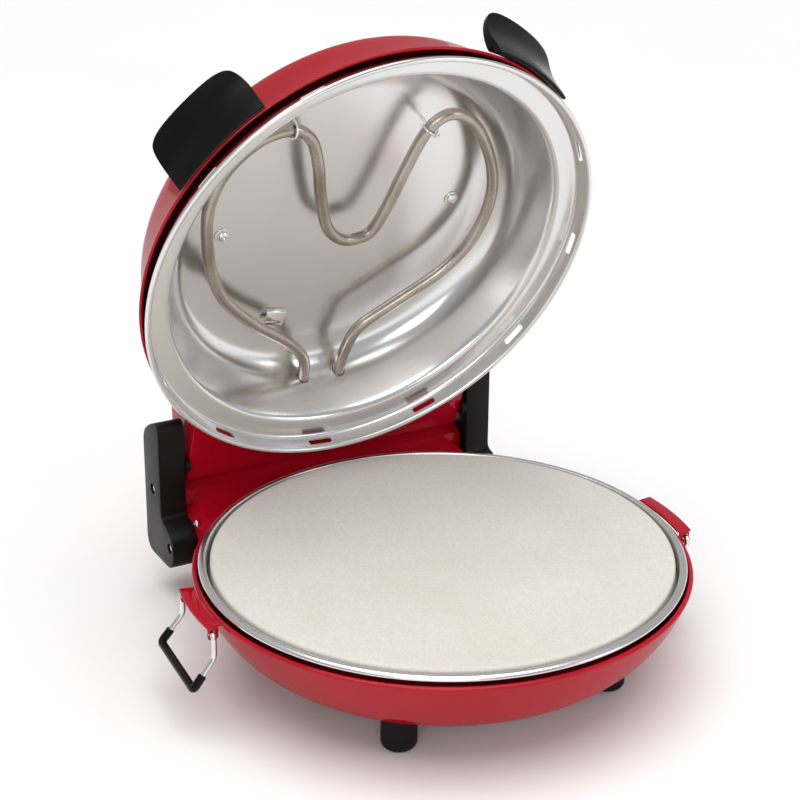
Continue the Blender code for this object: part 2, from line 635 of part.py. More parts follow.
def handle_mesh(name):
    """A loft round the rim: a flap flared at its free edge, shorter towards its two rounded ends."""
    last = len(HANDLE_OUTSIDE) - 1
    shape = bmesh.new()
    rings = []
    for i in range(HANDLE_STATIONS + 1):
        # Stations crowd towards the ends, where the outline turns.
        across = math.sin(0.5 * math.pi * (2 * i / HANDLE_STATIONS - 1))
        angle = HANDLE_HALF_SPAN * across
        reach = last * (0.38 + 0.62 * math.sqrt(1 - abs(across) ** 6))
        section = [along(HANDLE_OUTSIDE, reach * k / last) for k in range(last + 1)]
        section += [along(HANDLE_INSIDE, reach * k / last) for k in reversed(range(last + 1))]
        rings.append([
            shape.verts.new(Vector((radius * math.cos(angle), radius * math.sin(angle), height)) * MM)
            for radius, height in section
        ])
    for ring, following in zip(rings, rings[1:]):
        for k in range(len(ring)):
            n = (k + 1) % len(ring)
            shape.faces.new((ring[k], ring[n], following[n], following[k]))
    shape.faces.new(reversed(rings[0]))
    shape.faces.new(rings[-1])
    bmesh.ops.recalc_face_normals(shape, faces=shape.faces)
    mesh = bpy.data.meshes.new(name)
    shape.to_mesh(mesh)
    shape.free()
    mesh.materials.append(BLACK)
    return mesh


def make_handles(frame):
    for side, angle in HANDLE_ANGLES.items():
        name = f"lid_handle_{side}"
        shade_round(place(name, handle_mesh(name), OVEN, frame, rotation=(0.0, 0.0, angle)))


def lid_envelope(frame):
    """The red shell filled solid and a little larger, to cut the rear box that sits against it."""
    outside = grown(SHELL_PROFILE[1:14], 0.5)
    profile = [(0.0, outside[0][1] + 1.0), *outside, (outside[-1][0], 5.0), (0.0, 5.0)]
    return turned("lid_box_round_dome", profile, frame, STEEL, collection=TOOLS)


def make_lid_box(frame):
    """The hollow red box behind the dome, which turns with the lid between the two arms."""
    case = side_plate("lid_rear_box", LID_BOX_OUTLINE, LID_BOX_HALF, frame, RED)
    hollow = side_plate("lid_box_hollow", LID_BOX_INSIDE, LID_BOX_HALF - LID_BOX_WALL, frame, RED, collection=TOOLS)
    boolean(case, hollow, "DIFFERENCE")
    boolean(case, lid_envelope(frame), "DIFFERENCE")
    for label, x in (("thermostat", -KNOB_X), ("lamp", 0.0), ("timer", KNOB_X)):
        drill(case, f"panel_hole_{label}", 4.4, 12.0, frame, panel_point(x, -6.0), PANEL_TURN)

    washer_start = LID_BOX_HALF + GAP
    washer_end = ARM_INNER_X - GAP
    bore = PIN_RADIUS + GAP
    washer = (
        (bore, washer_end - washer_start), (5.0, washer_end - washer_start), (5.0, 0.0), (bore, 0.0),
    )
    for side, direction in SIDES:
        spot = (direction * washer_start, HINGE_Y, HINGE_Z - RIM_Z)
        turned(f"hinge_washer_{side}", washer, frame, BLACK, spot, outward(direction), steps=SMALL_STEPS)


def panel_point(x, out):
    """A point at the given distance out from the middle line of the control panel."""
    return (x, PANEL_Y + out * math.sin(PANEL_LEAN), PANEL_Z + out * math.cos(PANEL_LEAN))


PANEL_TURN = (-PANEL_LEAN, 0.0, 0.0)


def make_controls(frame):
    """Thermostat and timer, each a body in the box and a knob outside, and the lamp between them."""
    knob = (
        (0.0, 15.0), (10.6, 15.0), (12.0, 13.6), (12.6, 4.0), (14.0, 2.6), (14.0, 0.8), (4.0, 0.8),
        (4.0, -1.8), (0.0, -1.8),
    )
    for label, x in (("thermostat", -KNOB_X), ("timer", KNOB_X)):
        turned(f"{label}_knob", knob, frame, BLACK, panel_point(x, 0.0), PANEL_TURN, steps=20)
        box(f"{label}_body", (30.0, 19.0, 10.0), frame, STEEL, panel_point(x, -7.4), PANEL_TURN)
    lamp = (
        (0.0, 3.4), (3.6, 3.0), (5.6, 1.6), (5.8, GAP), (4.0, GAP), (4.0, -8.0), (0.0, -8.0),
    )
    turned("pilot_lamp", lamp, frame, LAMP, panel_point(0.0, 0.0), PANEL_TURN, steps=SMALL_STEPS)


clear_scene()
OVEN = new_collection("pizza_oven")
TOOLS = new_collection("boolean_tools", hidden=True)

RED = new_material("red_enamel", (0.42, 0.006, 0.012), 0.18)
STEEL = new_material("stainless_steel", (0.72, 0.71, 0.69), 0.28, 1.0)
CHROME = new_material("chromed_wire", (0.80, 0.80, 0.80), 0.15, 1.0)
ELEMENT = new_material("heater_tube", (0.36, 0.31, 0.25), 0.42, 1.0)
STONE = new_material("refractory_stone", (0.78, 0.73, 0.65), 0.85)
BLACK = new_material("black_plastic", (0.018, 0.018, 0.020), 0.45)
RUBBER = new_material("black_rubber", (0.015, 0.015, 0.016), 0.7)
LAMP = new_material("red_lens", (0.55, 0.03, 0.02), 0.2)

OVEN_ROOT = place("pizza_oven_root", None, OVEN, None, (BOWL_X, BOWL_Y, 0.0))
RIM = place("base_rim", None, OVEN, OVEN_ROOT, (0.0, 0.0, RIM_Z))
make_base(RIM)
make_arms(RIM)
make_bails(OVEN_ROOT)
make_lid(OVEN_ROOT)
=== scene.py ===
"""The looks of the countertop pizza oven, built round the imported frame.

Lengths in the tables are millimetres, and become metres where a mesh is made.
Three frames are used: the world, the rim (z = 0 at the base's steel rim, in the middle of the bowl)
and the lid (drawn closed, z = 0 at the bottom of its bead, and turned open about its hinge).
"""

import json
import math

import bmesh
import bpy
from mathutils import Matrix, Vector


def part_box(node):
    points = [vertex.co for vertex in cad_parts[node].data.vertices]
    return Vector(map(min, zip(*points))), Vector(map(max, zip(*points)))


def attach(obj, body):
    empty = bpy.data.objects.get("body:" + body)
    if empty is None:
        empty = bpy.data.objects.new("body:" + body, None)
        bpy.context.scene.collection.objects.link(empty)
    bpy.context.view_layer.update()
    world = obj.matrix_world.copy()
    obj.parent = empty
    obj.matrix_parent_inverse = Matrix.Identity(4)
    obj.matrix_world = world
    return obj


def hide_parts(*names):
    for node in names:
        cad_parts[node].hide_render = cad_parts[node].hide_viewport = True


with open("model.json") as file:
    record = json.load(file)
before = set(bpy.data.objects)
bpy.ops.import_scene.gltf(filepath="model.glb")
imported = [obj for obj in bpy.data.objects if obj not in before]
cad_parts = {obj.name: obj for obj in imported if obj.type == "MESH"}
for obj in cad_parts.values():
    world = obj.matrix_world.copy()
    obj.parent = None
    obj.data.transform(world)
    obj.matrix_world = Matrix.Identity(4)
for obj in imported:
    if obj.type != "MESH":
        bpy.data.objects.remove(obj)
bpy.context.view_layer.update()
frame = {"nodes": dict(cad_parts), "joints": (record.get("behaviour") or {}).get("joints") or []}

MM = 0.001
SIDES = (("left", -1.0), ("right", 1.0))

# The rim's frame comes from the stone, and the lid's frame from the lid's hinge.
STONE_LOW, STONE_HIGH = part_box("stone")
STONE_TOP = 2.7
RIM_HEIGHT = STONE_HIGH.z / MM - STONE_TOP
RIM = Matrix.Translation((
    0.5 * (STONE_LOW.x + STONE_HIGH.x), 0.5 * (STONE_LOW.y + STONE_HIGH.y), RIM_HEIGHT * MM,
))
JOINTS = {joint["name"]: joint for joint in frame["joints"]}
LID_HINGE = JOINTS["lid_hinge"]
HINGE_Y = LID_HINGE["pos_m"][1] / MM - RIM.translation.y / MM
HINGE_Z = LID_HINGE["pos_m"][2] / MM - RIM_HEIGHT
LID_OPEN = math.radians(LID_HINGE["range_deg"][1])
LID = (
    Matrix.Translation(LID_HINGE["pos_m"]) @ Matrix.Rotation(-LID_OPEN, 4, "X")
    @ Matrix.Translation((0.0, -HINGE_Y * MM, -HINGE_Z * MM))
)

# Turned profiles, (radius, height): down the outer side, then back up the inner side.
BOWL_PROFILE = (
    (163.9, -3.4), (166.6, -3.6), (167.2, -5.0), (166.2, -7.4), (164.0, -13.0), (159.4, -22.5),
    (152.0, -34.0), (143.0, -43.8), (132.5, -51.6), (121.0, -56.8), (109.0, -58.9), (88.0, -58.9),
    (88.0, -57.7), (108.8, -57.7), (120.5, -55.6), (131.8, -50.5), (142.1, -42.9), (151.0, -33.2),
    (158.3, -22.0), (162.9, -12.6), (164.4, -6.4), (163.9, -5.2),
)
PAN_PROFILE = (
    (161.0, 1.6), (163.0, 0.2), (163.0, -2.0), (160.4, -1.2), (158.2, -0.2), (157.9, -10.0),
    (156.6, -10.9), (146.6, -10.9), (143.4, -27.0), (137.2, -34.0), (128.2, -36.8), (0.0, -36.8),
    (0.0, -36.0), (128.0, -36.0), (136.6, -33.3), (142.6, -26.6), (145.9, -10.1), (156.2, -10.1),
    (157.1, -9.2), (157.4, 0.6), (158.8, 1.7),
)
STONE_PROFILE = (
    (0.0, 2.7), (153.4, 2.7), (155.0, 1.3), (155.0, -8.4), (153.6, -9.8), (0.0, -9.8),
)
SHELL_PROFILE = (
    (0.0, 81.6), (60.0, 80.4), (98.0, 77.6), (120.0, 73.6), (133.0, 69.0), (142.0, 63.0),
    (147.2, 57.0), (150.4, 49.6), (153.6, 40.0), (157.2, 30.0), (161.0, 20.4), (162.7, 17.2),
    (164.6, 16.2), (165.4, 14.9), (164.8, 13.7), (163.4, 13.8),
    (161.8, 16.4), (159.8, 20.0), (156.0, 29.6), (152.4, 39.6), (149.2, 49.2), (146.1, 56.3),
    (141.1, 62.1), (132.4, 67.9), (119.6, 72.4), (97.8, 76.4), (60.0, 79.2), (0.0, 80.4),
)
REFLECTOR_PROFILE = (
    (0.0, 60.8), (108.2, 60.8), (121.4, 58.8), (129.7, 52.5), (133.9, 45.2), (144.2, 15.9),
    (146.0, 14.0), (148.2, 13.3), (158.8, 13.3), (161.2, 12.2), (162.9, 4.0), (165.0, 3.9),
    (166.2, 2.8), (166.3, 1.3), (165.2, 0.2), (163.5, 0.2), (162.3, 1.4),
    (162.1, 3.2), (160.3, 11.6), (158.4, 12.5), (148.0, 12.5), (145.4, 13.3), (143.4, 15.6),
    (133.1, 45.0), (129.0, 52.0), (121.0, 58.1), (108.1, 60.0), (0.0, 60.0),
)
CEILING_Z = 60.0

VENT_COUNT = 12
VENT_TURN = math.radians(5.0)
VENT_LENGTH = 18.0
VENT_HEIGHT = 4.4
VENT_Z = 6.3

ARM_OUTLINE = (
    (166.4, -17.0), (159.0, -19.0), (152.0, -23.0), (147.4, -27.6), (146.0, -34.0), (146.6, -43.0),
    (150.0, -48.4), (155.0, -50.4), (186.0, -50.4), (191.4, -47.6), (194.0, -42.0), (194.0, 38.0),
    (190.6, 44.4), (184.0, 49.4), (173.6, 54.8), (169.0, 55.0), (166.4, 52.6),
)
ARM_INNER_X = 114.6
ARM_OUTER_X = 134.2
ARM_SCREWS = (("upper", 180.2, 1.1), ("lower", 152.6, -34.0))

BASE_BOX_OUTLINE = (
    (110.0, -12.6), (150.0, -12.6), (165.0, -10.6), (178.0, -3.0), (183.0, 0.6), (190.0, 0.6),
    (194.0, -2.6), (194.0, -47.0), (190.0, -51.4), (110.0, -51.4),
)
BASE_BOX_HALF = 114.3
BASE_BOX_CHAMFER = 6.5
GLAND = (62.0, 194.0, -30.0)

LID_BOX_OUTLINE = (
    (85.0, 18.9), (184.6, 18.9), (187.0, 20.0), (188.0, 22.4), (188.0, 33.0), (185.0, 37.0),
    (158.0, 53.4), (140.0, 61.0), (85.0, 66.0),
)
LID_BOX_HALF = 110.0
PANEL_Y = 171.5
PANEL_Z = 45.2
PANEL_LEAN = math.atan2(53.4 - 37.0, 185.0 - 158.0)
KNOB_X = 52.0

UPPER_Z = 42.0
LEAD_Z = 45.0
UPPER_ELEMENT = (
    (-14.3, 143.0, LEAD_Z), (-14.3, 131.0, LEAD_Z), (-18.0, 112.0, 43.6), (-33.5, 92.6, UPPER_Z),
    (-63.0, 69.5, UPPER_Z), (-88.5, 43.0, UPPER_Z), (-101.6, 16.0, UPPER_Z),
    (-108.6, -14.0, UPPER_Z), (-110.0, -43.0, UPPER_Z), (-101.0, -69.0, UPPER_Z),
    (-80.5, -88.6, UPPER_Z), (-58.0, -93.4, UPPER_Z), (-43.6, -84.0, UPPER_Z),
    (-35.0, -63.0, UPPER_Z), (-28.8, -36.0, UPPER_Z), (-19.4, -8.0, UPPER_Z),
    (-7.6, 4.6, UPPER_Z), (4.8, 7.2, UPPER_Z), (16.4, 2.6, UPPER_Z), (25.0, -17.0, UPPER_Z),
    (34.0, -49.0, UPPER_Z), (45.0, -78.0, UPPER_Z), (61.4, -88.0, UPPER_Z),
    (82.0, -75.6, UPPER_Z), (101.4, -43.0, UPPER_Z), (109.0, -10.0, UPPER_Z),
    (102.4, 23.5, UPPER_Z), (83.0, 49.6, UPPER_Z), (49.0, 72.4, UPPER_Z), (23.0, 89.6, UPPER_Z),
    (15.6, 110.0, 43.4), (14.3, 131.0, LEAD_Z), (14.3, 143.0, LEAD_Z),
)
ELEMENT_RADIUS = 4.2
HOOK_POINTS = (11, 21)
CEILING_SCREW_X = 88.5
SENSOR_TAB = (-39.0, 80.0)

HANDLE_ANGLES = {"left": math.pi + math.radians(41.9), "right": -math.radians(53.5)}
HANDLE_HALF_SPAN = math.radians(12.8)
HANDLE_STATIONS = 56
HANDLE_OUTSIDE = (
    (169.6, 12.6), (170.6, 20.0), (171.2, 28.0), (172.2, 35.0), (174.6, 41.6), (178.0, 47.4),
    (180.4, 51.0),
)
HANDLE_INSIDE = (
    (167.6, 13.0), (166.0, 18.0), (162.6, 23.0), (165.4, 33.0), (169.0, 41.0), (173.4, 48.0),
    (177.6, 53.0),
)

EAR_TURN = math.radians(-4.7)
EAR_HALF_SPAN = math.radians(9.1)
EAR_INNER = 167.8
EAR_OUTER = 177.8
EAR_TOP = -3.0
EAR_THICK = 1.6
TAB_WIDTH = 7.4
TAB_BOTTOM = -13.0
PIVOT_RADIUS = 172.4
PIVOT_Z = -8.4
WIRE_RADIUS = 1.8
SLEEVE_RADIUS = 2.8
LEG_Y = 31.2
BAR_HALF = 32.8
KNEE_DOWN = 15.0
BAR_OUT = 15.0
BAR_DOWN = 34.2
SLEEVE_UP_LEG = 11.0
BAIL_SWING = {"left": 0.0, "right": math.radians(-24.0)}

FOOT_X = 78.7
FOOT_Y = 85.7
FOOT_RADIUS = 11.8


# ---------------------------------------------------------------- materials


class Shader:
    """A material's node tree, with short ways to add the nodes that these materials share."""

    def __init__(self, name):
        self.material = bpy.data.materials.new(name)
        self.material.use_nodes = True
        self.tree = self.material.node_tree
        self.surface = self.tree.nodes["Principled BSDF"]

    def add(self, kind, **settings):
        made = self.tree.nodes.new(kind)
        for name, value in settings.items():
            setattr(made, name, value)
        return made

    def link(self, source, target):
        self.tree.links.new(source, target)

    def fixed(self, **values):
        for name, value in values.items():
            self.surface.inputs[name.replace("_", " ")].default_value = value

    def place(self):
        return self.add("ShaderNodeTexCoord").outputs["Object"]

    def noise(self, vector, scale, detail=3.0, roughness=0.5):
        made = self.add("ShaderNodeTexNoise")
        made.inputs["Scale"].default_value = scale
        made.inputs["Detail"].default_value = detail
        made.inputs["Roughness"].default_value = roughness
        self.link(vector, made.inputs["Vector"])
        return made.outputs["Fac"]

    def ramp(self, factor, *stops):
        """Colours or levels, each stop a (position, colour or level)."""
        made = self.add("ShaderNodeValToRGB")
        while len(made.color_ramp.elements) < len(stops):
            made.color_ramp.elements.new(0.5)
        for element, (position, colour) in zip(made.color_ramp.elements, stops):
            element.position = position
            level = (colour, colour, colour) if isinstance(colour, float) else colour
            element.color = (*level, 1.0)
        self.link(factor, made.inputs["Fac"])
        return made.outputs["Color"]

    def mix(self, factor, first, second, blend="MIX"):
        made = self.add("ShaderNodeMix", data_type="RGBA", blend_type=blend)
        if isinstance(factor, float):
            made.inputs["Factor"].default_value = factor
        else:
            self.link(factor, made.inputs["Factor"])
        for value, socket in ((first, made.inputs[6]), (second, made.inputs[7])):
            if isinstance(value, tuple):
                socket.default_value = (*value, 1.0)
            else:
                self.link(value, socket)
        return made.outputs[2]

    def math(self, operation, first, second):
        made = self.add("ShaderNodeMath", operation=operation)
        for value, socket in ((first, made.inputs[0]), (second, made.inputs[1])):
            if isinstance(value, float):
                socket.default_value = value
            else:
                self.link(value, socket)
        return made.outputs[0]

    def bump(self, height, strength, distance):
        made = self.add("ShaderNodeBump")
        made.inputs["Strength"].default_value = strength
        made.inputs["Distance"].default_value = distance
        self.link(height, made.inputs["Height"])
        self.link(made.outputs["Normal"], self.surface.inputs["Normal"])

    def around_axis(self, vector, ring_scale, turn_scale):
        """Coordinates that run round the piece's own Z axis, to draw spun rings."""
        split = self.add("ShaderNodeSeparateXYZ")
        self.link(vector, split.inputs[0])
        x, y, z = split.outputs
        squared = self.math("ADD", self.math("MULTIPLY", x, x), self.math("MULTIPLY", y, y))
        radius = self.math("SQRT", squared, 0.0)
        angle = self.math("ARCTAN2", y, x)
        joined = self.add("ShaderNodeCombineXYZ")
        self.link(self.math("MULTIPLY", radius, ring_scale), joined.inputs[0])
        self.link(self.math("MULTIPLY", angle, turn_scale), joined.inputs[1])
        self.link(self.math("MULTIPLY", z, ring_scale), joined.inputs[2])
        return joined.outputs[0]


def red_enamel():
    """Deep red gloss enamel under a clear coat, with slow depth changes and a faint orange peel."""
    shade = Shader("red_enamel")
    place = shade.place()
    slow = shade.noise(place, 9.0, 2.0)
    depth = shade.ramp(slow, (0.3, (0.34, 0.0015, 0.010)), (0.7, (0.41, 0.003, 0.015)))
    specks = shade.ramp(shade.noise(place, 900.0, 1.0), (0.62, 0.0), (0.75, 1.0))
    colour = shade.mix(shade.math("MULTIPLY", specks, 0.12), depth, (0.55, 0.02, 0.03))
    shade.link(colour, shade.surface.inputs["Base Color"])
    smears = shade.ramp(shade.noise(place, 22.0, 5.0, 0.6), (0.35, 0.22), (0.75, 0.36))
    shade.link(smears, shade.surface.inputs["Roughness"])
    shade.fixed(Specular_IOR_Level=0.0, Coat_Weight=0.55, Coat_Roughness=0.05, Coat_IOR=1.5)
    shade.bump(shade.noise(place, 420.0, 2.0), 0.02, 0.0003)
    return shade.material


def spun_steel():
    """Satin stainless steel with fine spun rings, soft clouding and light handling marks."""
    shade = Shader("spun_steel")
    place = shade.add("ShaderNodeAttribute", attribute_name="own_place").outputs["Vector"]
    rings = shade.noise(shade.around_axis(place, 2600.0, 0.4), 1.0, 3.0, 0.7)
    clouds = shade.noise(place, 14.0, 4.0)
    tone = shade.ramp(clouds, (0.3, (0.73, 0.725, 0.725)), (0.7, (0.79, 0.785, 0.785)))
    colour = shade.mix(shade.ramp(rings, (0.35, 0.0), (0.8, 0.07)), tone, (0.52, 0.515, 0.51))
    shade.link(colour, shade.surface.inputs["Base Color"])
    soft = shade.ramp(clouds, (0.3, 0.19), (0.7, 0.25))
    satin = shade.mix(0.35, soft, shade.ramp(rings, (0.3, 0.18), (0.8, 0.26)))
    shade.link(satin, shade.surface.inputs["Roughness"])
    shade.fixed(Metallic=1.0, Anisotropic=0.45)
    round_axis = shade.add("ShaderNodeAttribute", attribute_name="round_axis").outputs["Vector"]
    turned = shade.add(
        "ShaderNodeVectorTransform", vector_type="VECTOR", convert_from="OBJECT", convert_to="WORLD",
    )
    shade.link(round_axis, turned.inputs[0])
    shade.link(turned.outputs[0], shade.surface.inputs["Tangent"])
    shade.bump(rings, 0.008, 0.0002)
    return shade.material


def bright_steel(name="bright_steel", colour=(0.80, 0.79, 0.78), roughness=(0.10, 0.22)):
    """Smooth plated or polished steel with faint smudges."""
    shade = Shader(name)
    place = shade.place()
    smudges = shade.noise(place, 60.0, 4.0)
    darker = tuple(0.85 * channel for channel in colour)
    shade.link(shade.ramp(smudges, (0.3, darker), (0.7, colour)), shade.surface.inputs["Base Color"])
    satin = shade.ramp(smudges, (0.3, roughness[0]), (0.75, roughness[1]))
    shade.link(satin, shade.surface.inputs["Roughness"])
    shade.fixed(Metallic=1.0)
    shade.bump(shade.noise(place, 700.0, 2.0), 0.04, 0.0002)
    return shade.material


def heater_tube():
    """Sheathed heater tube, warm grey-brown from heat, with slow straw and dark bands."""
    shade = Shader("heater_tube")
    place = shade.place()
    bands = shade.noise(place, 17.0, 3.0)
    tint = shade.ramp(bands, (0.3, (0.36, 0.31, 0.26)), (0.5, (0.46, 0.41, 0.36)), (0.72, (0.26, 0.21, 0.17)))
    scale = shade.ramp(shade.noise(place, 500.0, 3.0), (0.4, 0.0), (0.75, 0.35))
    shade.link(shade.mix(scale, tint, (0.22, 0.19, 0.16)), shade.surface.inputs["Base Color"])
    shade.link(shade.ramp(bands, (0.3, 0.24), (0.7, 0.34)), shade.surface.inputs["Roughness"])
    shade.fixed(Metallic=1.0)
    shade.bump(shade.noise(place, 900.0, 3.0), 0.12, 0.0002)
    return shade.material


def baking_stone():
    """Cream cordierite: a sandy grain with pores, pale clouding and a few faint baking marks."""
    shade = Shader("baking_stone")
    place = shade.place()
    body = shade.ramp(shade.noise(place, 12.0, 4.0), (0.3, (0.62, 0.58, 0.53)), (0.7, (0.69, 0.66, 0.61)))
    sand = shade.noise(place, 700.0, 4.0, 0.7)
    grain = shade.ramp(sand, (0.35, (0.50, 0.45, 0.38)), (0.62, (0.74, 0.71, 0.66)))
    sandy = shade.mix(0.35, body, grain)
    marks = shade.ramp(shade.noise(place, 26.0, 6.0, 0.65), (0.60, 0.0), (0.78, 0.30))
    shade.link(shade.mix(marks, sandy, (0.58, 0.45, 0.32)), shade.surface.inputs["Base Color"])
    shade.fixed(Roughness=0.88)
    pores = shade.add("ShaderNodeTexVoronoi")
    pores.inputs["Scale"].default_value = 420.0
    shade.link(place, pores.inputs["Vector"])
    shade.bump(shade.mix(0.5, pores.outputs["Distance"], shade.noise(place, 900.0, 3.0)), 0.35, 0.0004)
    return shade.material


def moulded_black(name="moulded_black", roughness=(0.34, 0.48), level=0.003):
    """Black plastic with the fine grain of its mould and lighter rubbed patches."""
    shade = Shader(name)
    place = shade.place()
    rubbed = shade.noise(place, 30.0, 4.0)
    dark = (level, level, 1.1 * level)
    lighter = (1.9 * level, 1.9 * level, 2.1 * level)
    shade.link(shade.ramp(rubbed, (0.4, dark), (0.8, lighter)), shade.surface.inputs["Base Color"])
    satin = shade.ramp(rubbed, (0.3, roughness[0]), (0.7, roughness[1]))
    shade.link(satin, shade.surface.inputs["Roughness"])
    shade.fixed(Specular_IOR_Level=0.2)
    shade.bump(shade.noise(place, 1300.0, 2.0), 0.10, 0.0002)
    return shade.material


def lamp_lens():
    """A moulded red lens with fine facets under its dome."""
    shade = Shader("lamp_lens")
    rings = shade.noise(shade.place(), 900.0, 1.0)
    shade.link(shade.ramp(rings, (0.3, (0.50, 0.02, 0.01)), (0.7, (0.72, 0.05, 0.03))),
               shade.surface.inputs["Base Color"])
    shade.fixed(Roughness=0.12, Coat_Weight=0.6, Subsurface_Weight=0.2)
    shade.bump(rings, 0.3, 0.0003)
    return shade.material


def printed_white():
    """Off-white printing ink, slightly uneven."""
    shade = Shader("printed_white")
    uneven = shade.noise(shade.place(), 300.0, 3.0)
    shade.link(shade.ramp(uneven, (0.3, (0.72, 0.72, 0.70)), (0.7, (0.85, 0.85, 0.83))),
               shade.surface.inputs["Base Color"])
    shade.fixed(Roughness=0.5)
    return shade.material


RED = red_enamel()
STEEL = spun_steel()
SHEET = bright_steel("sheet_steel", (0.62, 0.61, 0.60), (0.26, 0.42))
BRIGHT = bright_steel()
CHROME = bright_steel("chromed_wire", (0.84, 0.84, 0.85), (0.06, 0.14))
ELEMENT = heater_tube()
STONE = baking_stone()
BLACK = moulded_black()
GLOSS_BLACK = moulded_black("handle_black", (0.20, 0.30), 0.0012)
RUBBER = moulded_black("black_rubber", (0.55, 0.75), 0.004)
LENS = lamp_lens()
INK = printed_white()


# ---------------------------------------------------------------- mesh helpers


def fillet(points, bend, steps=4, closed=False):
    """Rounds each corner with an arc that starts at most one bend length before it."""
    points = [Vector(point) for point in points]
    count = len(points)
    path = []
    for i, corner in enumerate(points):
        if not closed and i in (0, count - 1):
            path.append(corner)
            continue
        before = points[i - 1] - corner
        after = points[(i + 1) % count] - corner
        start = corner + before.normalized() * min(bend, 0.49 * before.length)
        end = corner + after.normalized() * min(bend, 0.49 * after.length)
        for step in range(steps + 1):
            t = step / steps
            path.append((1 - t) ** 2 * start + 2 * t * (1 - t) * corner + t**2 * end)
    return path


def smooth_path(points, per_span):
    """A Catmull-Rom curve through the points."""
    points = [Vector(point) for point in points]
    padded = [2 * points[0] - points[1], *points, 2 * points[-1] - points[-2]]
    path = []
    for a, b, c, d in zip(padded, padded[1:], padded[2:], padded[3:]):
        for step in range(per_span):
            t = step / per_span
            bend = (2 * a - 5 * b + 4 * c - d) * t**2 + (3 * b - a - 3 * c + d) * t**3
            path.append(0.5 * (2 * b + (c - a) * t + bend))
    path.append(points[-1])
    return path


def grown(profile, amount):
    """A profile moved away from its solid by about the amount."""
    return [(radius + amount, height + math.copysign(amount, height)) for radius, height in profile]


def ring_mesh(rings, closed_rows=False, cap=False):
    """A skin over rings of points that all have the same count. A ring of one point is a pole."""
    shape = bmesh.new()
    rows = [[shape.verts.new(Vector(point) * MM) for point in ring] for ring in rings]
    pairs = list(zip(rows, rows[1:]))
    if closed_rows:
        pairs.append((rows[-1], rows[0]))
    for upper, lower in pairs:
        count = max(len(upper), len(lower))
        for k in range(count):
            n = (k + 1) % count
            corners = [(upper, k), (lower, k), (lower, n), (upper, n)]
            unique = list(dict.fromkeys(row[index % len(row)] for row, index in corners))
            if len(unique) > 2:
                shape.faces.new(unique)
    if cap:
        shape.faces.new(rows[0])
        shape.faces.new(list(reversed(rows[-1])))
    bmesh.ops.recalc_face_normals(shape, faces=shape.faces)
    mesh = bpy.data.meshes.new("skin")
    shape.to_mesh(mesh)
    shape.free()
    return mesh


def lathe(profile, bend=6.0, steps=160, ripple=None):
    """A shape of revolution about Z. ripple(angle, radius, height) may change a radius."""
    loop = profile[0][0] > 0.0
    rounded = fillet(profile, bend, 4, closed=loop)
    rings = []
    for radius, height in rounded:
        if radius < 1e-6:
            rings.append([(0.0, 0.0, height)])
            continue
        ring = []
        for k in range(steps):
            angle = 2 * math.pi * k / steps
            reach = ripple(angle, radius, height) if ripple else radius
            ring.append((reach * math.cos(angle), reach * math.sin(angle), height))
        rings.append(ring)
    return ring_mesh(rings, closed_rows=loop)


def tube(path, radius, sides=20, blunt=0.5):
    """A round bar along a path, with the edges of its two ends eased."""
    path = [Vector(point) for point in path]
    start_run = (path[0] - path[1]).normalized()
    end_run = (path[-1] - path[-2]).normalized()
    centres = [path[0], path[0] - start_run * blunt, *path[1:-1], path[-1] - end_run * blunt, path[-1]]
    side = start_run.orthogonal().normalized()
    last = len(centres) - 1
    rings = []
    for i, centre in enumerate(centres):
        run = (centres[min(i + 1, last)] - centres[max(i - 1, 0)]).normalized()
        side = (side - run * side.dot(run)).normalized()
        across = run.cross(side)
        reach = radius - blunt if i in (0, last) else radius
        rings.append([
            centre + reach * (side * math.cos(turn) + across * math.sin(turn))
            for turn in (2 * math.pi * k / sides for k in range(sides))
        ])
    return ring_mesh([[path[0]], *rings, [path[-1]]])


def prism(outline, low, high, round_ends=0.0, segments=3):
    """An outline in the XY plane made solid from z = low to z = high, with its end edges rounded."""
    shape = bmesh.new()
    bottom = [shape.verts.new((x * MM, y * MM, low * MM)) for x, y in outline]
    top = [shape.verts.new((x * MM, y * MM, high * MM)) for x, y in outline]
    shape.faces.new(list(reversed(bottom)))
    shape.faces.new(top)
    for k in range(len(outline)):
        n = (k + 1) % len(outline)
        shape.faces.new((bottom[k], bottom[n], top[n], top[k]))
    bmesh.ops.recalc_face_normals(shape, faces=shape.faces)
    if round_ends:
        edges = [edge for edge in shape.edges if abs(edge.verts[0].co.z - edge.verts[1].co.z) < 1e-9]
        bmesh.ops.bevel(shape, geom=edges, offset=round_ends * MM, segments=segments, profile=0.5,
                        affect="EDGES", clamp_overlap=True)
    mesh = bpy.data.meshes.new("prism")
    shape.to_mesh(mesh)
    shape.free()
    return mesh


def rounded_rectangle(width, height, radius, steps=5):
    corners = [(0.5 * sx * width, 0.5 * sy * height) for sx, sy in ((-1, -1), (1, -1), (1, 1), (-1, 1))]
    return [tuple(point) for point in fillet(corners, radius, steps, closed=True)]


UPRIGHT = Matrix.Rotation(math.pi / 2, 4, "Z") @ Matrix.Rotation(math.pi / 2, 4, "X")


def side_plate(outline, half, centre_x, round_ends):
    """A (y, z) outline made solid along X."""
    mesh = prism(outline, -half, half, round_ends)
    mesh.transform(Matrix.Translation((centre_x * MM, 0.0, 0.0)) @ UPRIGHT)
    return mesh


def moved(mesh, location=(0.0, 0.0, 0.0), turn=None):
    """The mesh turned, then moved to a place in millimetres."""
    mesh.transform(Matrix.Translation(Vector(location) * MM) @ (turn or Matrix.Identity(4)))
    return mesh


def joined(meshes):
    shape = bmesh.new()
    for mesh in meshes:
        shape.from_mesh(mesh)
    mesh = bpy.data.meshes.new("joined")
    shape.to_mesh(mesh)
    shape.free()
    return mesh


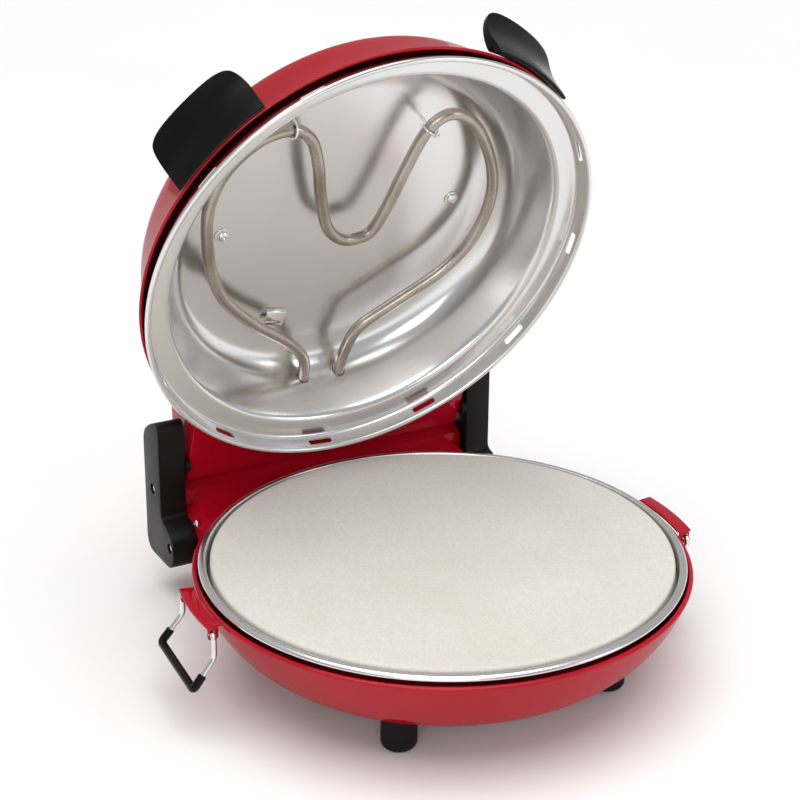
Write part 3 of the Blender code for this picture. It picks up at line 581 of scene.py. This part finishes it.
def combined(mesh, tool, operation):
    """One Boolean, worked out at once."""
    objects = []
    for data in (mesh, tool):
        item = bpy.data.objects.new("work", data)
        bpy.context.scene.collection.objects.link(item)
        objects.append(item)
    modifier = objects[0].modifiers.new("cut", "BOOLEAN")
    modifier.operation = operation
    modifier.solver = "EXACT"
    modifier.object = objects[1]
    graph = bpy.context.evaluated_depsgraph_get()
    result = bpy.data.meshes.new_from_object(objects[0].evaluated_get(graph))
    for item in objects:
        bpy.data.objects.remove(item)
    return result


def eased(mesh, width, degrees=50.0, segments=2):
    """Rounds the mesh's sharp edges a little."""
    shape = bmesh.new()
    shape.from_mesh(mesh)
    bmesh.ops.remove_doubles(shape, verts=shape.verts, dist=1e-6)
    sharpest = math.radians(degrees)
    edges = [edge for edge in shape.edges if edge.is_manifold and edge.calc_face_angle(0.0) > sharpest]
    bmesh.ops.bevel(shape, geom=edges, offset=width * MM, segments=segments, profile=0.5, affect="EDGES",
                    clamp_overlap=True)
    shape.to_mesh(mesh)
    shape.free()
    return mesh


def store_rings(mesh, frame_matrix):
    """Keeps each point's place in the piece's own frame, and which way a spun ring runs there."""
    place = mesh.attributes.new("own_place", "FLOAT_VECTOR", "POINT")
    around = mesh.attributes.new("round_axis", "FLOAT_VECTOR", "POINT")
    turn = frame_matrix.to_3x3()
    for vertex in mesh.vertices:
        x, y, _ = vertex.co
        place.data[vertex.index].vector = vertex.co
        around.data[vertex.index].vector = turn @ Vector((-y, x, 0.0)).normalized()


def show(name, mesh, frame_matrix, material, body, replaces=(), sharp=38.0):
    """Puts a finished mesh in the scene: where it is, what it rides on and which nodes it stands for."""
    mesh.name = name
    mesh.materials.clear()
    mesh.materials.append(material)
    if material is STEEL:
        store_rings(mesh, frame_matrix)
    mesh.transform(frame_matrix)
    mesh.shade_smooth()
    mesh.set_sharp_from_angle(angle=math.radians(sharp))
    piece = bpy.data.objects.new(name, mesh)
    bpy.context.scene.collection.objects.link(piece)
    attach(piece, body)
    if replaces:
        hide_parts(*replaces)
    return piece


def turn_x(degrees):
    return Matrix.Rotation(math.radians(degrees), 4, "X")


def turn_z(angle):
    return Matrix.Rotation(angle, 4, "Z")


def outward(direction):
    """Turns a piece's own Z axis to face away from the middle plane, along X."""
    return Matrix.Rotation(direction * math.pi / 2, 4, "Y")


BACKWARD = turn_x(-90.0)


def cross_recess(size, depth):
    """The cutter for a cross-head screw's recess, with its top at z = 0."""
    bars = []
    for angle in (0.0, math.pi / 2):
        bar = prism(rounded_rectangle(2 * size, 0.45 * size, 0.1 * size, 2), -depth, 2.0)
        bars.append(moved(bar, turn=turn_z(angle + 0.3)))
    return combined(bars[0], bars[1], "UNION")


def screw_mesh(radius, height, shank, washer=0.0):
    """A domed cross-head screw that stands on z = 0, with its shank below."""
    profile = [
        (0.0, height), (0.35 * radius, 0.97 * height), (0.72 * radius, 0.78 * height),
        (0.95 * radius, 0.4 * height), (radius, 0.05 * height), (0.98 * radius, 0.0),
    ]
    if washer:
        profile += [(washer - 0.3, 0.0), (washer, -0.3), (washer, -1.0)]
    profile += [(0.45 * radius, -1.0), (0.45 * radius, -shank), (0.0, -shank)]
    head = lathe(profile, 0.25 * radius, 32)
    recess = moved(cross_recess(0.5 * radius, 0.5 * height), (0.0, 0.0, 0.98 * height))
    return combined(head, recess, "DIFFERENCE")


# ---------------------------------------------------------------- base


def bowl_envelope():
    """The bowl filled solid and a little larger, to cut what sits against it."""
    outside = grown(BOWL_PROFILE[2:12], 0.4)
    profile = [(0.0, 30.0), (outside[0][0], 30.0), *outside, (0.0, outside[-1][1])]
    return lathe(profile, 4.0, 160)


def make_bowl():
    show("bowl_shell", lathe(BOWL_PROFILE), RIM, RED, "base", ["base_bowl"])
    show("steel_pan", lathe(PAN_PROFILE, 2.5), RIM, STEEL, "base", ["base_pan"])
    show("round_stone", lathe(STONE_PROFILE, 1.4), RIM, STONE, "stone_disc", ["stone"])


def make_feet():
    cutter = bowl_envelope()
    profile = (
        (0.0, 30.0), (FOOT_RADIUS - 0.5, 30.0), (FOOT_RADIUS, 12.0), (FOOT_RADIUS, 3.2),
        (FOOT_RADIUS - 3.0, 0.0), (0.0, 0.0),
    )
    for side, direction in SIDES:
        for end, y in (("front", -FOOT_Y), ("rear", FOOT_Y)):
            foot = moved(lathe(profile, 2.2, 56), (direction * FOOT_X, y, -RIM_HEIGHT))
            node = f"foot_{end}_{side}"
            foot = combined(foot, cutter, "DIFFERENCE")
            show(f"rubber_{node}", foot, RIM, RUBBER, "base", [node])


def corner_cutter(direction, half_width, top, width):
    """A block whose lower face cuts the edge between a box's top and its end off at 45 degrees."""
    slope = Vector((direction, 0.0, 1.0)).normalized()
    middle = Vector((direction * (half_width - 0.5 * width), 140.0, top - 0.5 * width))
    block = prism([(-30.0, -36.0), (30.0, -36.0), (30.0, 36.0), (-30.0, 36.0)], 0.0, 40.0)
    return moved(block, middle, Matrix.Rotation(direction * math.pi / 4, 4, "Y"))


def make_base_box():
    outline = [tuple(point) for point in fillet(BASE_BOX_OUTLINE, 3.0, 4, closed=True)]
    case = side_plate(outline, BASE_BOX_HALF, 0.0, 1.2)
    for _, direction in SIDES:
        cutter = corner_cutter(direction, BASE_BOX_HALF, BASE_BOX_OUTLINE[0][1], BASE_BOX_CHAMFER)
        case = combined(case, cutter, "DIFFERENCE")
    case = combined(case, bowl_envelope(), "DIFFERENCE")
    show("rear_box_case", case, RIM, RED, "base", ["base_rear_box"], 25.0)

    gland = [(8.2, 9.0), (10.5, 8.0), (10.5, 0.3), (7.0, 0.3), (7.0, -1.0), (4.2, -1.0), (4.2, 9.0)]
    ribs = lathe(gland, 0.8, 96, lambda angle, radius, height: radius - (0.35 if radius > 9.0 else 0.0)
                 * (0.5 + 0.5 * math.cos(24 * angle)))
    show("gland_bush", moved(ribs, GLAND, BACKWARD), RIM, RUBBER, "base", ["cord_gland"])

    for side, direction in SIDES:
        spot = (direction * (BASE_BOX_HALF + 0.3), 149.0, -17.0)
        head = moved(screw_mesh(3.2, 1.6, 0.4), spot, outward(direction))
        node = f"flank_screw_{side}"
        show(f"flank_screw_head_{side}", head, RIM, BRIGHT, "base", [node])


def make_arms():
    """Both arms come from the left one, since the right one is its mirror image."""
    outline = [tuple(point) for point in fillet(ARM_OUTLINE, 4.0, 4, closed=True)]
    half = 0.5 * (ARM_OUTER_X - ARM_INNER_X)
    floor = ARM_OUTER_X - 3.0
    arm = side_plate(outline, half, -ARM_INNER_X - half, 1.8)
    for _, y, z in ARM_SCREWS:
        bore = lathe(((0.0, 8.0), (3.9, 8.0), (3.9, 0.0), (0.0, 0.0)), 0.3, 40)
        arm = combined(arm, moved(bore, (-floor, y, z), outward(-1.0)), "DIFFERENCE")
    other = arm.copy()
    other.transform(Matrix.Scale(-1.0, 4, (1.0, 0.0, 0.0)))
    other.flip_normals()
    for (side, direction), case in zip(SIDES, (arm, other)):
        show(f"arm_case_{side}", case, RIM, BLACK, "base", [f"hinge_arm_{side}"])
        for level, y, z in ARM_SCREWS:
            head = moved(screw_mesh(3.3, 1.9, 0.3), (direction * (floor + 0.4), y, z), outward(direction))
            node = f"arm_screw_{side}_{level}"
            show(f"{node}_head", head, RIM, BRIGHT, "base", [node])


def bail_leg(sleeve_only):
    corner = Vector((BAR_OUT, BAR_HALF, -BAR_DOWN))
    knee = Vector((0.0, LEG_Y, -KNEE_DOWN))
    if sleeve_only:
        return [corner, corner + (knee - corner).normalized() * sleeve_only]
    return [corner, knee, Vector((0.0, LEG_Y, 0.0)), Vector((0.0, LEG_Y - 6.5, 0.0))]


def bail_path(sleeve_only=0.0):
    leg = bail_leg(sleeve_only)
    other = [Vector((point.x, -point.y, point.z)) for point in leg]
    return fillet([*reversed(other), *leg], 3.2, 8)


def make_ears():
    """Each ear is a curved strip whose ends fold down into tabs, and its bail swings in them."""
    for side, turn in (("left", math.pi + EAR_TURN), ("right", EAR_TURN)):
        heading = RIM @ turn_z(turn)
        spread = [EAR_HALF_SPAN * (i / 20 - 1) for i in range(41)]
        strip = [(EAR_INNER * math.cos(angle), EAR_INNER * math.sin(angle)) for angle in spread]
        strip += [(EAR_OUTER * math.cos(angle), EAR_OUTER * math.sin(angle)) for angle in reversed(spread)]
        plate = prism(strip, EAR_TOP - EAR_THICK, EAR_TOP, 0.45, 2)
        tab_radius = EAR_OUTER - 0.6 * TAB_WIDTH
        inset = EAR_HALF_SPAN - 0.55 * EAR_THICK / tab_radius
        tab_height = EAR_TOP - 0.4 * EAR_THICK - TAB_BOTTOM
        corners = [(-0.5 * TAB_WIDTH, 0.5 * tab_height), (-0.5 * TAB_WIDTH, -0.5 * tab_height),
                   (0.5 * TAB_WIDTH, -0.5 * tab_height), (0.5 * TAB_WIDTH, 0.5 * tab_height)]
        rounded = [tuple(point) for point in fillet(corners, 2.4, 5, closed=True)]
        for angle in (-inset, inset):
            tab = prism(rounded, -0.5 * EAR_THICK, 0.5 * EAR_THICK, 0.35, 2)
            spot = (tab_radius * math.cos(angle), tab_radius * math.sin(angle), TAB_BOTTOM + 0.5 * tab_height)
            plate = combined(plate, moved(tab, spot, turn_z(angle) @ turn_x(90.0)), "UNION")
        reach = WIRE_RADIUS + 0.5
        bore = lathe(((0.0, 50.0), (reach, 50.0), (reach, -50.0), (0.0, -50.0)), 0.1, 24)
        bore = moved(bore, (PIVOT_RADIUS, 0.0, PIVOT_Z), turn_x(90.0))
        plate = combined(plate, bore, "DIFFERENCE")
        show(f"ear_strip_{side}", plate, heading, RED, "base", [f"ear_{side}"])

        pivot = heading @ Matrix.Translation((PIVOT_RADIUS * MM, 0.0, PIVOT_Z * MM))
        pivot = pivot @ Matrix.Rotation(-BAIL_SWING[side], 4, "Y")
        body = f"{side}_bail"
        show(f"bail_wire_{side}", tube(bail_path(), WIRE_RADIUS, 20), pivot, CHROME, body,
             [f"bail_{side}"])
        grip = tube(bail_path(SLEEVE_UP_LEG), SLEEVE_RADIUS, 24, 0.7)
        show(f"bail_grip_{side}", grip, pivot, GLOSS_BLACK, body, [f"bail_sleeve_{side}"])


# ---------------------------------------------------------------- lid


def make_dome():
    show("dome_shell", lathe(SHELL_PROFILE, 8.0), LID, RED, "lid", ["lid_shell"])
    reflector = lathe(REFLECTOR_PROFILE, 4.0, 192)
    slots = []
    for i in range(VENT_COUNT):
        angle = VENT_TURN + 2 * math.pi * i / VENT_COUNT
        slot = prism(rounded_rectangle(VENT_LENGTH, VENT_HEIGHT, 1.7), -4.0, 4.0)
        slot.transform(turn_z(angle) @ Matrix.Translation((161.4 * MM, 0.0, VENT_Z * MM)) @ UPRIGHT)
        slots.append(slot)
    for _, direction in SIDES:
        reach = ELEMENT_RADIUS + 0.4
        lead = lathe(((0.0, 40.0), (reach, 40.0), (reach, 0.0), (0.0, 0.0)), 0.1, 40)
        slots.append(moved(lead, (direction * 14.3, 112.0, LEAD_Z), BACKWARD))
    reflector = combined(reflector, joined(slots), "DIFFERENCE")
    show("steel_dome", reflector, LID, STEEL, "lid", ["lid_reflector"], 30.0)
    for side, direction in SIDES:
        spot = (direction * CEILING_SCREW_X, 0.0, CEILING_Z - 1.0)
        head = moved(screw_mesh(4.2, 2.6, 6.0, washer=5.6), spot, turn_x(180.0))
        show(f"ceiling_screw_head_{side}", head, LID, BRIGHT, "lid",
             [f"ceiling_screw_{side}"])
    strip = [(-6.5, 1.2), (-4.0, 1.2), (-2.6, 0.2), (4.6, 0.0), (6.6, 1.8), (6.0, 2.4), (4.2, 0.9),
             (-2.2, 1.1), (-3.6, 2.1), (-6.5, 2.1)]
    tab = prism([tuple(point) for point in fillet(strip, 0.8, 3, closed=True)], -7.5, 7.5, 0.2, 2)
    lean = turn_z(math.radians(13.0)) @ turn_x(-14.0) @ turn_z(-0.5 * math.pi) @ turn_x(90.0)
    show("bent_tab", moved(tab, (*SENSOR_TAB, CEILING_Z - 4.2), lean), LID, BRIGHT, "lid",
         ["sensor_tab"])


def make_heater():
    heater = tube(smooth_path(UPPER_ELEMENT, 8), ELEMENT_RADIUS, 24)
    show("bent_heater", heater, LID, ELEMENT, "lid", ["upper_element"])
    wire = 0.9
    reach = ELEMENT_RADIUS + 0.8 + wire
    for (side, _), index in zip(SIDES, HOOK_POINTS):
        centre = Vector(UPPER_ELEMENT[index])
        run = Vector(UPPER_ELEMENT[index + 1]) - Vector(UPPER_ELEMENT[index - 1])
        inward = Vector((-run.y, run.x, 0.0)).normalized()
        if inward.dot(centre) > 0.0:
            inward.negate()
        hook = [centre + inward * reach + Vector((0.0, 0.0, CEILING_Z - 0.3 - UPPER_Z))]
        for step in range(13):
            angle = math.pi * step / 12
            drop = Vector((0.0, 0.0, reach * math.sin(angle)))
            hook.append(centre + inward * reach * math.cos(angle) - drop)
        hook.append(centre - inward * reach + Vector((0.0, 0.0, 3.0)))
        clip = tube(smooth_path(hook, 3), wire, 12, 0.3)
        if side == "right":
            knot = centre + inward * (reach + 2.6) + Vector((0.0, 0.0, 1.5))
            coil = [
                knot + Vector((2.4 * math.cos(turn), 2.4 * math.sin(turn), 0.5 * turn - 2.4))
                for turn in (0.6 * k for k in range(18))
            ]
            clip = joined([clip, tube(coil, 0.7, 10, 0.2)])
        show(f"wire_hook_{side}", clip, LID, BRIGHT, "lid", [f"element_hook_{side}"])


def along(line, position):
    """The point at a fractional index of a list of points."""
    index = min(int(position), len(line) - 2)
    share = position - index
    return tuple((1 - share) * a + share * b for a, b in zip(line[index], line[index + 1]))


def handle_mesh():
    """A flap round the lid's rim, flared at its free edge and shorter towards its rounded ends."""
    outside = smooth_path([(*point, 0.0) for point in HANDLE_OUTSIDE], 3)
    inside = smooth_path([(*point, 0.0) for point in HANDLE_INSIDE], 3)
    last = len(outside) - 1
    rings = []
    for i in range(HANDLE_STATIONS + 1):
        across = math.sin(0.5 * math.pi * (2 * i / HANDLE_STATIONS - 1))
        angle = HANDLE_HALF_SPAN * across
        reach = last * (0.38 + 0.62 * math.sqrt(1 - abs(across) ** 6))
        section = [along(outside, reach * k / last)[:2] for k in range(last + 1)]
        section += [along(inside, reach * k / last)[:2] for k in reversed(range(last + 1))]
        rounded = fillet(section, 1.1, 3, closed=True)
        rings.append([
            (radius * math.cos(angle), radius * math.sin(angle), height)
            for radius, height in rounded
        ])
    return eased(ring_mesh(rings, cap=True), 0.9, 60.0, 3)


def make_handles():
    for side, angle in HANDLE_ANGLES.items():
        grip = moved(handle_mesh(), turn=turn_z(angle))
        show(f"grip_{side}", grip, LID, GLOSS_BLACK, "lid", [f"lid_handle_{side}"])


PANEL_TURN = Matrix.Rotation(-PANEL_LEAN, 4, "X")


def panel_point(x, out, across=0.0):
    """A point on the control panel: along it, out of it, and up its slope."""
    return (
        x, PANEL_Y + out * math.sin(PANEL_LEAN) + across * math.cos(PANEL_LEAN),
        PANEL_Z + out * math.cos(PANEL_LEAN) - across * math.sin(PANEL_LEAN),
    )


def make_lid_box():
    outline = [tuple(point) for point in fillet(LID_BOX_OUTLINE, 3.0, 4, closed=True)]
    case = side_plate(outline, LID_BOX_HALF, 0.0, 1.4)
    outside = grown(SHELL_PROFILE[1:14], 0.4)
    envelope = lathe([(0.0, outside[0][1] + 1.0), *outside, (outside[-1][0], 5.0), (0.0, 5.0)], 3.0, 160)
    case = combined(case, envelope, "DIFFERENCE")
    show("lid_box_case", case, LID, RED, "lid", ["lid_rear_box"], 25.0)


def make_dial(label, x, sweep):
    """A fluted knob with a pointer, and the ring of marks that it is read against."""
    profile = (
        (0.0, 15.0), (9.4, 15.0), (12.0, 13.6), (12.6, 4.0), (14.0, 2.6), (14.0, 0.8), (0.0, 0.8),
    )

    def flutes(angle, radius, height):
        depth = 0.5 if 11.0 < radius < 13.2 else 0.0
        return radius - depth * (0.5 + 0.5 * math.cos(20 * angle))

    body = f"{label}_dial"
    show(f"{label}_knob_cap", moved(lathe(profile, 1.3, 160, flutes), panel_point(x, 0.0), PANEL_TURN), LID,
         BLACK, body, [f"{label}_knob"])
    pointer = prism(rounded_rectangle(1.4, 8.4, 0.6), 14.9, 15.25, 0.1, 1)
    pointer.transform(Matrix.Translation((0.0, 6.2 * MM, 0.0)))
    show(f"{label}_pointer", moved(pointer, panel_point(x, 0.0), PANEL_TURN), LID, INK, body)
    marks = []
    count = 11
    for i in range(count):
        angle = math.radians(sweep) * (0.5 - i / (count - 1))
        long = i % 5 == 0
        tick = prism(rounded_rectangle(0.9, 3.2 if long else 2.0, 0.3, 2), 0.0, 0.14)
        tick.transform(turn_z(angle) @ Matrix.Translation((0.0, 16.6 * MM, 0.0)))
        marks.append(tick)
    marks = moved(joined(marks), panel_point(x, 0.02), PANEL_TURN)
    show(f"{label}_marks", marks, LID, INK, "lid")


def make_controls():
    make_dial("thermostat", -KNOB_X, 270.0)
    make_dial("timer", KNOB_X, 300.0)
    lamp = ((0.0, 3.6), (2.4, 3.4), (4.2, 2.4), (5.0, 1.2), (5.8, 1.1), (5.8, 0.1), (0.0, 0.1))
    dome = moved(lathe(lamp, 0.8, 64), panel_point(0.0, 0.0), PANEL_TURN)
    show("lamp_dome", dome, LID, LENS, "lid", ["pilot_lamp"])


# ---------------------------------------------------------------- what the CAD keeps


def finish_cad_nodes():
    """Gives the plain small pieces that stay as they are in the frame their materials."""
    finishes = {
        SHEET: ("bottom_cover", "element_rest_a", "element_rest_b", "element_rest_c", "pan_post_a",
                "pan_post_b", "pan_post_c", "thermostat_body", "timer_body"),
        BRIGHT: ("hinge_pin_left", "hinge_pin_right"),
        BLACK: ("hinge_washer_left", "hinge_washer_right", "terminal_block"),
        ELEMENT: ("lower_element",),
    }
    for material, nodes in finishes.items():
        for node in nodes:
            mesh = frame["nodes"][node].data
            mesh.materials.clear()
            mesh.materials.append(material)


# ---------------------------------------------------------------- stage


CAMERA_SPOT = (-0.62636, -1.12268, 0.74109)
CAMERA_AZIMUTH = math.radians(-28.6128)
CAMERA_ELEVATION = math.radians(23.4662)
CAMERA_ROLL = math.radians(0.4843)
CAMERA_LENS = 96.097


def make_camera():
    lens = bpy.data.cameras.new("camera")
    lens.lens = CAMERA_LENS
    lens.clip_end = 60.0
    camera = bpy.data.objects.new("camera", lens)
    bpy.context.scene.collection.objects.link(camera)
    camera.matrix_world = (
        Matrix.Translation(CAMERA_SPOT) @ Matrix.Rotation(CAMERA_AZIMUTH, 4, "Z")
        @ Matrix.Rotation(math.pi / 2 - CAMERA_ELEVATION, 4, "X") @ Matrix.Rotation(CAMERA_ROLL, 4, "Z")
    )
    bpy.context.scene.camera = camera


def softbox(name, spot, target, size, power, colour=(1.0, 1.0, 1.0)):
    light = bpy.data.lights.new(name, "AREA")
    light.shape = "RECTANGLE"
    light.size, light.size_y = size
    light.energy = power
    light.color = colour
    item = bpy.data.objects.new(name, light)
    bpy.context.scene.collection.objects.link(item)
    item.location = spot
    item.rotation_euler = (Vector(target) - Vector(spot)).to_track_quat("-Z", "Y").to_euler()


def make_floor():
    """A pale matt floor with a very faint mottle."""
    shade = Shader("pale_floor")
    mottle = shade.noise(shade.place(), 2.0, 3.0)
    shade.link(shade.ramp(mottle, (0.3, (0.86, 0.86, 0.86)), (0.7, (0.88, 0.88, 0.88))),
               shade.surface.inputs["Base Color"])
    shade.fixed(Roughness=0.95)
    floor = prism([(-9000.0, -9000.0), (9000.0, -9000.0), (9000.0, 9000.0), (-9000.0, 9000.0)], -20.0, 0.0)
    floor.materials.append(shade.material)
    item = bpy.data.objects.new("floor", floor)
    bpy.context.scene.collection.objects.link(item)


def make_wall():
    """A pale wall far round the floor, seen by the camera alone, so that low views have no dark horizon."""
    shade = Shader("pale_wall")
    mottle = shade.noise(shade.place(), 0.4, 2.0)
    shade.link(shade.ramp(mottle, (0.3, (0.97, 0.97, 0.97)), (0.7, (1.0, 1.0, 1.0))),
               shade.surface.inputs["Emission Color"])
    shade.fixed(Emission_Strength=1.0, Specular_IOR_Level=0.0, Base_Color=(0.0, 0.0, 0.0, 1.0))
    wall = lathe(((8800.0, -20.0), (8820.0, -20.0), (8820.0, 7000.0), (8800.0, 7000.0)), 1.0, 96)
    wall.materials.append(shade.material)
    item = bpy.data.objects.new("wall", wall)
    bpy.context.scene.collection.objects.link(item)
    item.visible_diffuse = False
    item.visible_glossy = False
    item.visible_transmission = False
    item.visible_shadow = False


def make_light():
    world = bpy.data.worlds.new("studio")
    bpy.context.scene.world = world
    world.use_nodes = True
    background = world.node_tree.nodes["Background"]
    background.inputs["Color"].default_value = (1.0, 1.0, 1.0, 1.0)
    background.inputs["Strength"].default_value = 0.46
    sun = bpy.data.lights.new("sun", "SUN")
    sun.energy = 2.1
    sun.angle = math.radians(60.0)
    item = bpy.data.objects.new("sun", sun)
    bpy.context.scene.collection.objects.link(item)
    item.rotation_euler = Vector((0.10, 0.10, -1.0)).to_track_quat("-Z", "Y").to_euler()
    softbox("key", (-1.3, -2.2, 1.3), (0.0, 0.0, 0.25), (1.4, 1.0), 16.0)
    softbox("fill", (1.7, -1.9, 0.9), (0.0, 0.0, 0.2), (0.8, 0.8), 7.0)
    bpy.context.scene.view_settings.view_transform = "Standard"


make_bowl()
make_feet()
make_base_box()
make_arms()
make_ears()
make_dome()
make_heater()
make_handles()
make_lid_box()
make_controls()
finish_cad_nodes()
make_floor()
make_wall()
make_light()
make_camera()
